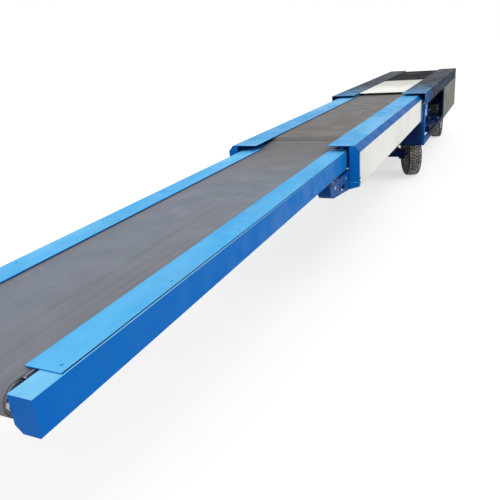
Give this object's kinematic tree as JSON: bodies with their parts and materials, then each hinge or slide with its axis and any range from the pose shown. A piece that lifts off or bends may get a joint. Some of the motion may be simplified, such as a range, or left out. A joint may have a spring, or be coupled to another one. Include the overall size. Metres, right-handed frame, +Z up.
{
  "type": "mobile telescopic belt conveyor",
  "caption": "Wheeled belt conveyor whose middle section and boom telescope out of a base to carry goods into a vehicle.",
  "frame": {"origin": "on the ground, below the middle of the machine as it stands with both booms run out", "axes": "+X towards the boom's tip, +Y to the left side with the drive bay, +Z up"},
  "size_m": [9.92, 1.118, 1.055],
  "materials": {
    "blue_paint": "satin",
    "cover_paint": "satin",
    "white_paint": "satin",
    "dark_paint": "satin",
    "black_paint": "satin",
    "belt_rubber": "matte",
    "bright_steel": "satin",
    "tyre": "matte",
    "rim_paint": "satin"
  },
  "bodies": {
    "base": {"base_top_rails": "blue_paint", "base_bottom_rails": "blue_paint", "base_posts": "blue_paint", "base_covers": "cover_paint", "base_panels": "white_paint", "base_tail_plate": "blue_paint", "transition_plate": "white_paint", "base_bed": "bright_steel", "base_belt": "belt_rubber", "base_belt_drop": "belt_rubber", "base_return_belt": "belt_rubber", "tail_drums": "bright_steel", "drum_side_plates": "dark_paint", "chassis": "dark_paint", "counterweight": "black_paint", "extension_motor": "dark_paint", "extension_gearbox": "dark_paint", "control_box": "black_paint", "base_carry_rollers": "bright_steel", "base_roller_brackets": "blue_paint", "front_axle": "dark_paint", "rear_axle": "dark_paint", "tow_clevis": "dark_paint"},
    "steer_left": {"knuckle_left": "dark_paint"},
    "steer_right": {"knuckle_right": "dark_paint"},
    "tie_rod": {"tie_rod": "bright_steel"},
    "wheel_front_left": {"tyre_front_left": "tyre", "rim_front_left": "rim_paint"},
    "wheel_front_right": {"tyre_front_right": "tyre", "rim_front_right": "rim_paint"},
    "wheel_rear_left": {"tyre_rear_left": "tyre", "rim_rear_left": "rim_paint"},
    "wheel_rear_right": {"tyre_rear_right": "tyre", "rim_rear_right": "rim_paint"},
    "middle": {"middle_walls": "blue_paint", "middle_covers": "cover_paint", "middle_panels": "white_paint", "middle_cross_members": "dark_paint", "middle_bed": "bright_steel", "middle_belt": "belt_rubber", "middle_belt_drop": "belt_rubber", "middle_return_belt": "belt_rubber", "middle_belt_rollers": "bright_steel", "middle_end_plates": "dark_paint", "middle_front_brackets": "blue_paint", "middle_carry_rollers": "bright_steel", "middle_rear_wheels": "bright_steel"},
    "boom": {"boom_beams": "blue_paint", "boom_covers": "cover_paint", "boom_bed": "bright_steel", "boom_cross_members": "dark_paint", "boom_belt": "belt_rubber", "boom_return_belt": "belt_rubber", "head_drum": "bright_steel", "head_bearings": "dark_paint", "boom_rear_roller": "bright_steel", "boom_rear_wheels": "bright_steel"}
  },
  "joints": [
    {"name": "middle_slide", "type": "slide", "parent": "base", "child": "middle", "axis": [1, 0, 0], "range_m": [-2.95, 0]},
    {"name": "boom_slide", "type": "slide", "parent": "middle", "child": "boom", "axis": [1, 0, 0], "range_m": [-2.95, 0]},
    {"name": "steering", "type": "hinge", "parent": "base", "child": "steer_left", "pos_m": [-1.457, 0.235, 0.27], "axis": [0, 0, 1], "range_deg": [-47, 3]},
    {"name": "steering_right", "type": "hinge", "parent": "base", "child": "steer_right", "pos_m": [-1.457, -0.235, 0.27], "axis": [0, 0, 1], "range_deg": [-47, 3]},
    {"name": "tie_rod_pivot", "type": "hinge", "parent": "steer_left", "child": "tie_rod", "pos_m": [-1.59608, 0.17881, 0.285], "axis": [0, 0, 1], "range_deg": [-3, 47]},
    {"name": "spin_front_left", "type": "hinge", "parent": "steer_left", "child": "wheel_front_left", "pos_m": [-1.50308, 0.34904, 0.27], "axis": [-0.3746, 0.9272, 0], "continuous": true},
    {"name": "spin_front_right", "type": "hinge", "parent": "steer_right", "child": "wheel_front_right", "pos_m": [-1.41092, -0.34904, 0.27], "axis": [-0.3746, 0.9272, 0], "continuous": true},
    {"name": "spin_rear_left", "type": "hinge", "parent": "base", "child": "wheel_rear_left", "pos_m": [-4.259, 0.346, 0.27], "axis": [0, 1, 0], "continuous": true},
    {"name": "spin_rear_right", "type": "hinge", "parent": "base", "child": "wheel_rear_right", "pos_m": [-4.259, -0.346, 0.27], "axis": [0, 1, 0], "continuous": true}
  ],
  "couplings": [
    {"joint": "boom_slide", "follows": "middle_slide", "ratio": 1},
    {"joint": "steering_right", "follows": "steering", "ratio": 1},
    {"joint": "tie_rod_pivot", "follows": "steering", "ratio": -1}
  ]
}
